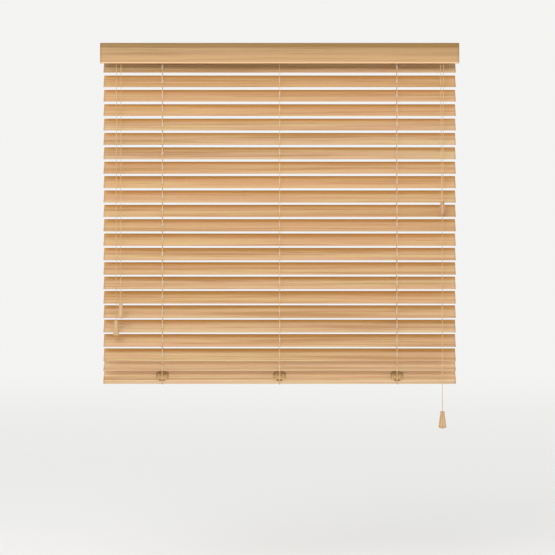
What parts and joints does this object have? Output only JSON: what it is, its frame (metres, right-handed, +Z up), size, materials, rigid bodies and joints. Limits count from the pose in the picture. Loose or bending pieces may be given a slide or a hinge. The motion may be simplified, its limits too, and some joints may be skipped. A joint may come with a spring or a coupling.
{
  "type": "slatted blind",
  "caption": "Wooden slatted blind with headrail, valance, ladder cords, tilt cords and a pull cord that gathers the slats",
  "frame": {"origin": "middle of the four ceiling screw holes, on the top plane of the brackets", "axes": "+X along the slats to the viewer's right, -Y towards the room, +Z up"},
  "size_m": [1.067, 0.0885, 1.146],
  "materials": {
    "slat_wood": "clear satin lacquer over straight-grained wood",
    "rail_wood": "clear satin lacquer over straight-grained wood",
    "valance_wood": "clear satin lacquer over straight-grained wood",
    "tassel_wood": "turned wood, satin lacquer",
    "ladder_string": "braided polyester",
    "lift_cord": "braided polyester",
    "pull_cord": "braided polyester",
    "knot_cord": "woven cord",
    "headrail_paint": "baked enamel on rolled steel",
    "bracket_paint": "baked enamel on pressed steel",
    "rod_steel": "zinc plated",
    "cap_plastic": "moulded",
    "gear_plastic": "moulded acetal",
    "drum_plastic": "moulded acetal",
    "clip_plastic": "clear moulded",
    "button_plastic": "moulded",
    "roller_brass": "knurled"
  },
  "bodies": {
    "root": {"headrail": "headrail_paint", "headrail_end_caps": "cap_plastic", "valance": "valance_wood", "valance_clips": "clip_plastic", "mounting_brackets": "bracket_paint", "drum_cradles": "gear_plastic", "tilter_housing": "gear_plastic", "cord_lock_housing": "gear_plastic", "lift_cord_runs": "lift_cord"},
    "tilt_shaft": {"tilt_rod": "rod_steel", "ladder_drums": "drum_plastic"},
    "tilter_pulley": {"tilter_worm": "drum_plastic"},
    "lock_roller": {"cord_lock_roller": "roller_brass"},
    "slat_00": {"slat_00": "slat_wood"},
    "rail_lift": {"lift_cord_rail_end": "lift_cord"},
    "slat_01": {"slat_01": "slat_wood"},
    "slat_02": {"slat_02": "slat_wood"},
    "slat_03": {"slat_03": "slat_wood"},
    "slat_04": {"slat_04": "slat_wood"},
    "slat_05": {"slat_05": "slat_wood"},
    "slat_06": {"slat_06": "slat_wood"},
    "slat_07": {"slat_07": "slat_wood"},
    "slat_08": {"slat_08": "slat_wood"},
    "slat_09": {"slat_09": "slat_wood"},
    "slat_10": {"slat_10": "slat_wood"},
    "gather_11": {"lift_cord_step_11": "lift_cord"},
    "slat_11": {"slat_11": "slat_wood"},
    "gather_12": {"lift_cord_step_12": "lift_cord"},
    "slat_12": {"slat_12": "slat_wood"},
    "gather_13": {"lift_cord_step_13": "lift_cord"},
    "slat_13": {"slat_13": "slat_wood"},
    "gather_14": {"lift_cord_step_14": "lift_cord"},
    "slat_14": {"slat_14": "slat_wood"},
    "gather_15": {"lift_cord_step_15": "lift_cord"},
    "slat_15": {"slat_15": "slat_wood"},
    "gather_16": {"lift_cord_step_16": "lift_cord"},
    "slat_16": {"slat_16": "slat_wood"},
    "gather_17": {"lift_cord_step_17": "lift_cord"},
    "slat_17": {"slat_17": "slat_wood"},
    "gather_18": {"lift_cord_step_18": "lift_cord"},
    "slat_18": {"slat_18": "slat_wood"},
    "gather_19": {"lift_cord_step_19": "lift_cord"},
    "slat_19": {"slat_19": "slat_wood"},
    "gather_20": {"lift_cord_step_20": "lift_cord"},
    "slat_20": {"slat_20": "slat_wood"},
    "gather_21": {"lift_cord_step_21": "lift_cord"},
    "slat_21": {"slat_21": "slat_wood"},
    "bottom_rail": {"bottom_rail": "rail_wood", "rail_buttons": "button_plastic", "ladder_knots": "knot_cord"},
    "ladder_front": {"ladder_front_strings": "ladder_string"},
    "ladder_rear": {"ladder_rear_strings": "ladder_string"},
    "tilt_pull_long": {"tilt_cord_long": "pull_cord", "tilt_tassel_long": "tassel_wood"},
    "tilt_pull_short": {"tilt_cord_short": "pull_cord", "tilt_tassel_short": "tassel_wood"},
    "lift_pull": {"lift_cord_tails": "pull_cord", "cord_joiner": "tassel_wood", "pull_cord": "pull_cord", "lift_tassel": "tassel_wood"}
  },
  "joints": [
    {"name": "slat_tilt_00", "type": "hinge", "parent": "root", "child": "slat_00", "pos_m": [0, 0, -0.0686], "axis": [1, 0, 0], "range_deg": [-117, 23]},
    {"name": "lift", "type": "slide", "parent": "root", "child": "rail_lift", "axis": [0, 0, 1], "range_m": [0, 0.3588], "deforming": ["lift_cord_rail_end", "lift_cord_step_11", "lift_cord_step_12", "lift_cord_step_13", "lift_cord_step_14", "lift_cord_step_15", "lift_cord_step_16", "lift_cord_step_17", "lift_cord_step_18", "lift_cord_step_19", "lift_cord_step_20", "lift_cord_step_21", "ladder_front_strings", "ladder_rear_strings"]},
    {"name": "slat_tilt_01", "type": "hinge", "parent": "root", "child": "slat_01", "pos_m": [0, 0, -0.1116], "axis": [1, 0, 0], "range_deg": [-117.01, 23.01]},
    {"name": "slat_tilt_02", "type": "hinge", "parent": "root", "child": "slat_02", "pos_m": [0, 0, -0.1546], "axis": [1, 0, 0], "range_deg": [-117.01, 23.01]},
    {"name": "slat_tilt_03", "type": "hinge", "parent": "root", "child": "slat_03", "pos_m": [0, 0, -0.1976], "axis": [1, 0, 0], "range_deg": [-117.01, 23.01]},
    {"name": "slat_tilt_04", "type": "hinge", "parent": "root", "child": "slat_04", "pos_m": [0, 0, -0.2406], "axis": [1, 0, 0], "range_deg": [-117.01, 23.01]},
    {"name": "slat_tilt_05", "type": "hinge", "parent": "root", "child": "slat_05", "pos_m": [0, 0, -0.2836], "axis": [1, 0, 0], "range_deg": [-117.01, 23.01]},
    {"name": "slat_tilt_06", "type": "hinge", "parent": "root", "child": "slat_06", "pos_m": [0, 0, -0.3266], "axis": [1, 0, 0], "range_deg": [-117.01, 23.01]},
    {"name": "slat_tilt_07", "type": "hinge", "parent": "root", "child": "slat_07", "pos_m": [0, 0, -0.3696], "axis": [1, 0, 0], "range_deg": [-117.01, 23.01]},
    {"name": "slat_tilt_08", "type": "hinge", "parent": "root", "child": "slat_08", "pos_m": [0, 0, -0.4126], "axis": [1, 0, 0], "range_deg": [-117.01, 23.01]},
    {"name": "slat_tilt_09", "type": "hinge", "parent": "root", "child": "slat_09", "pos_m": [0, 0, -0.4556], "axis": [1, 0, 0], "range_deg": [-117.01, 23.01]},
    {"name": "slat_tilt_10", "type": "hinge", "parent": "root", "child": "slat_10", "pos_m": [0, 0, -0.4986], "axis": [1, 0, 0], "range_deg": [-117.01, 23.01]},
    {"name": "gather_11", "type": "slide", "parent": "root", "child": "gather_11", "axis": [0, 0, 1], "range_m": [-0.0001, 0.0331]},
    {"name": "slat_tilt_11", "type": "hinge", "parent": "gather_11", "child": "slat_11", "pos_m": [0, 0, -0.5416], "axis": [1, 0, 0], "range_deg": [-117.01, 23.01]},
    {"name": "gather_12", "type": "slide", "parent": "root", "child": "gather_12", "axis": [0, 0, 1], "range_m": [-0.0001, 0.0661]},
    {"name": "slat_tilt_12", "type": "hinge", "parent": "gather_12", "child": "slat_12", "pos_m": [0, 0, -0.5846], "axis": [1, 0, 0], "range_deg": [-117.01, 23.01]},
    {"name": "gather_13", "type": "slide", "parent": "root", "child": "gather_13", "axis": [0, 0, 1], "range_m": [-0.0001, 0.0991]},
    {"name": "slat_tilt_13", "type": "hinge", "parent": "gather_13", "child": "slat_13", "pos_m": [0, 0, -0.6276], "axis": [1, 0, 0], "range_deg": [-117.01, 23.01]},
    {"name": "gather_14", "type": "slide", "parent": "root", "child": "gather_14", "axis": [0, 0, 1], "range_m": [-0.0001, 0.1321]},
    {"name": "slat_tilt_14", "type": "hinge", "parent": "gather_14", "child": "slat_14", "pos_m": [0, 0, -0.6706], "axis": [1, 0, 0], "range_deg": [-117.01, 23.01]},
    {"name": "gather_15", "type": "slide", "parent": "root", "child": "gather_15", "axis": [0, 0, 1], "range_m": [-0.0001, 0.1651]},
    {"name": "slat_tilt_15", "type": "hinge", "parent": "gather_15", "child": "slat_15", "pos_m": [0, 0, -0.7136], "axis": [1, 0, 0], "range_deg": [-117.01, 23.01]},
    {"name": "gather_16", "type": "slide", "parent": "root", "child": "gather_16", "axis": [0, 0, 1], "range_m": [-0.0001, 0.1981]},
    {"name": "slat_tilt_16", "type": "hinge", "parent": "gather_16", "child": "slat_16", "pos_m": [0, 0, -0.7566], "axis": [1, 0, 0], "range_deg": [-117.01, 23.01]},
    {"name": "gather_17", "type": "slide", "parent": "root", "child": "gather_17", "axis": [0, 0, 1], "range_m": [-0.0001, 0.2311]},
    {"name": "slat_tilt_17", "type": "hinge", "parent": "gather_17", "child": "slat_17", "pos_m": [0, 0, -0.7996], "axis": [1, 0, 0], "range_deg": [-117.01, 23.01]},
    {"name": "gather_18", "type": "slide", "parent": "root", "child": "gather_18", "axis": [0, 0, 1], "range_m": [-0.0001, 0.2641]},
    {"name": "slat_tilt_18", "type": "hinge", "parent": "gather_18", "child": "slat_18", "pos_m": [0, 0, -0.8426], "axis": [1, 0, 0], "range_deg": [-117.01, 23.01]},
    {"name": "gather_19", "type": "slide", "parent": "root", "child": "gather_19", "axis": [0, 0, 1], "range_m": [-0.0001, 0.2971]},
    {"name": "slat_tilt_19", "type": "hinge", "parent": "gather_19", "child": "slat_19", "pos_m": [0, 0, -0.8856], "axis": [1, 0, 0], "range_deg": [-117.01, 23.01]},
    {"name": "gather_20", "type": "slide", "parent": "root", "child": "gather_20", "axis": [0, 0, 1], "range_m": [-0.0001, 0.3301]},
    {"name": "slat_tilt_20", "type": "hinge", "parent": "gather_20", "child": "slat_20", "pos_m": [0, 0, -0.9286], "axis": [1, 0, 0], "range_deg": [-117.01, 23.01]},
    {"name": "gather_21", "type": "slide", "parent": "root", "child": "gather_21", "axis": [0, 0, 1], "range_m": [-0.0001, 0.344]},
    {"name": "slat_tilt_21", "type": "hinge", "parent": "gather_21", "child": "slat_21", "pos_m": [0, 0, -0.9615], "axis": [1, 0, 0], "range_deg": [-84.65, 16.65]},
    {"name": "rail_tilt", "type": "hinge", "parent": "rail_lift", "child": "bottom_rail", "pos_m": [0, 0, -0.996], "axis": [1, 0, 0], "range_deg": [-84.65, 16.65]},
    {"name": "ladder_front_swing", "type": "hinge", "parent": "slat_00", "child": "ladder_front", "pos_m": [0, -0.01841, -0.08835], "axis": [1, 0, 0], "range_deg": [-23.01, 117.01]},
    {"name": "ladder_rear_swing", "type": "hinge", "parent": "slat_00", "child": "ladder_rear", "pos_m": [0, 0.01841, -0.04885], "axis": [1, 0, 0], "range_deg": [-23.01, 117.01]},
    {"name": "rod_turn", "type": "hinge", "parent": "root", "child": "tilt_shaft", "pos_m": [0, 0, -0.017], "axis": [1, 0, 0], "range_deg": [-187.21, 36.81]},
    {"name": "pulley_turn", "type": "hinge", "parent": "root", "child": "tilter_pulley", "pos_m": [-0.4787, 0, -0.0306], "axis": [0, -1, 0], "range_deg": [-748.81, 147.21]},
    {"name": "tilt_pull_long", "type": "slide", "parent": "root", "child": "tilt_pull_long", "axis": [0, 0, 1], "range_m": [-0.0173, 0.0877], "deforming": ["tilt_cord_long"]},
    {"name": "tilt_pull_short", "type": "slide", "parent": "root", "child": "tilt_pull_short", "axis": [0, 0, 1], "range_m": [-0.0877, 0.0173], "deforming": ["tilt_cord_short"]},
    {"name": "lift_pull", "type": "slide", "parent": "root", "child": "lift_pull", "axis": [0, 0, 1], "range_m": [-0.3589, 0.0001], "deforming": ["lift_cord_tails"]},
    {"name": "lock_roller_slide", "type": "slide", "parent": "root", "child": "lock_roller", "axis": [0.7071, 0, 0.7071], "range_m": [0, 0.003]}
  ],
  "couplings": [
    {"joint": "slat_tilt_01", "follows": "slat_tilt_00", "ratio": 1},
    {"joint": "slat_tilt_02", "follows": "slat_tilt_00", "ratio": 1},
    {"joint": "slat_tilt_03", "follows": "slat_tilt_00", "ratio": 1},
    {"joint": "slat_tilt_04", "follows": "slat_tilt_00", "ratio": 1},
    {"joint": "slat_tilt_05", "follows": "slat_tilt_00", "ratio": 1},
    {"joint": "slat_tilt_06", "follows": "slat_tilt_00", "ratio": 1},
    {"joint": "slat_tilt_07", "follows": "slat_tilt_00", "ratio": 1},
    {"joint": "slat_tilt_08", "follows": "slat_tilt_00", "ratio": 1},
    {"joint": "slat_tilt_09", "follows": "slat_tilt_00", "ratio": 1},
    {"joint": "slat_tilt_10", "follows": "slat_tilt_00", "ratio": 1},
    {"joint": "gather_11", "follows": "lift", "ratio": 0.091973},
    {"joint": "slat_tilt_11", "follows": "slat_tilt_00", "ratio": 1},
    {"joint": "gather_12", "follows": "lift", "ratio": 0.18395},
    {"joint": "slat_tilt_12", "follows": "slat_tilt_00", "ratio": 1},
    {"joint": "gather_13", "follows": "lift", "ratio": 0.27592},
    {"joint": "slat_tilt_13", "follows": "slat_tilt_00", "ratio": 1},
    {"joint": "gather_14", "follows": "lift", "ratio": 0.36789},
    {"joint": "slat_tilt_14", "follows": "slat_tilt_00", "ratio": 1},
    {"joint": "gather_15", "follows": "lift", "ratio": 0.45987},
    {"joint": "slat_tilt_15", "follows": "slat_tilt_00", "ratio": 1},
    {"joint": "gather_16", "follows": "lift", "ratio": 0.55184},
    {"joint": "slat_tilt_16", "follows": "slat_tilt_00", "ratio": 1},
    {"joint": "gather_17", "follows": "lift", "ratio": 0.64381},
    {"joint": "slat_tilt_17", "follows": "slat_tilt_00", "ratio": 1},
    {"joint": "gather_18", "follows": "lift", "ratio": 0.73579},
    {"joint": "slat_tilt_18", "follows": "slat_tilt_00", "ratio": 1},
    {"joint": "gather_19", "follows": "lift", "ratio": 0.82776},
    {"joint": "slat_tilt_19", "follows": "slat_tilt_00", "ratio": 1},
    {"joint": "gather_20", "follows": "lift", "ratio": 0.91973},
    {"joint": "slat_tilt_20", "follows": "slat_tilt_00", "ratio": 1},
    {"joint": "gather_21", "follows": "lift", "ratio": 0.95847},
    {"joint": "slat_tilt_21", "follows": "slat_tilt_00", "ratio": 0.7234},
    {"joint": "rail_tilt", "follows": "slat_tilt_00", "ratio": 0.7234},
    {"joint": "ladder_front_swing", "follows": "slat_tilt_00", "ratio": -1},
    {"joint": "ladder_rear_swing", "follows": "slat_tilt_00", "ratio": -1},
    {"joint": "rod_turn", "follows": "slat_tilt_00", "ratio": 1.6},
    {"joint": "pulley_turn", "follows": "slat_tilt_00", "ratio": 6.4},
    {"joint": "tilt_pull_long", "follows": "slat_tilt_00", "m_per_rad": -0.04288},
    {"joint": "tilt_pull_short", "follows": "slat_tilt_00", "m_per_rad": 0.04288},
    {"joint": "lift_pull", "follows": "lift", "ratio": -1}
  ]
}
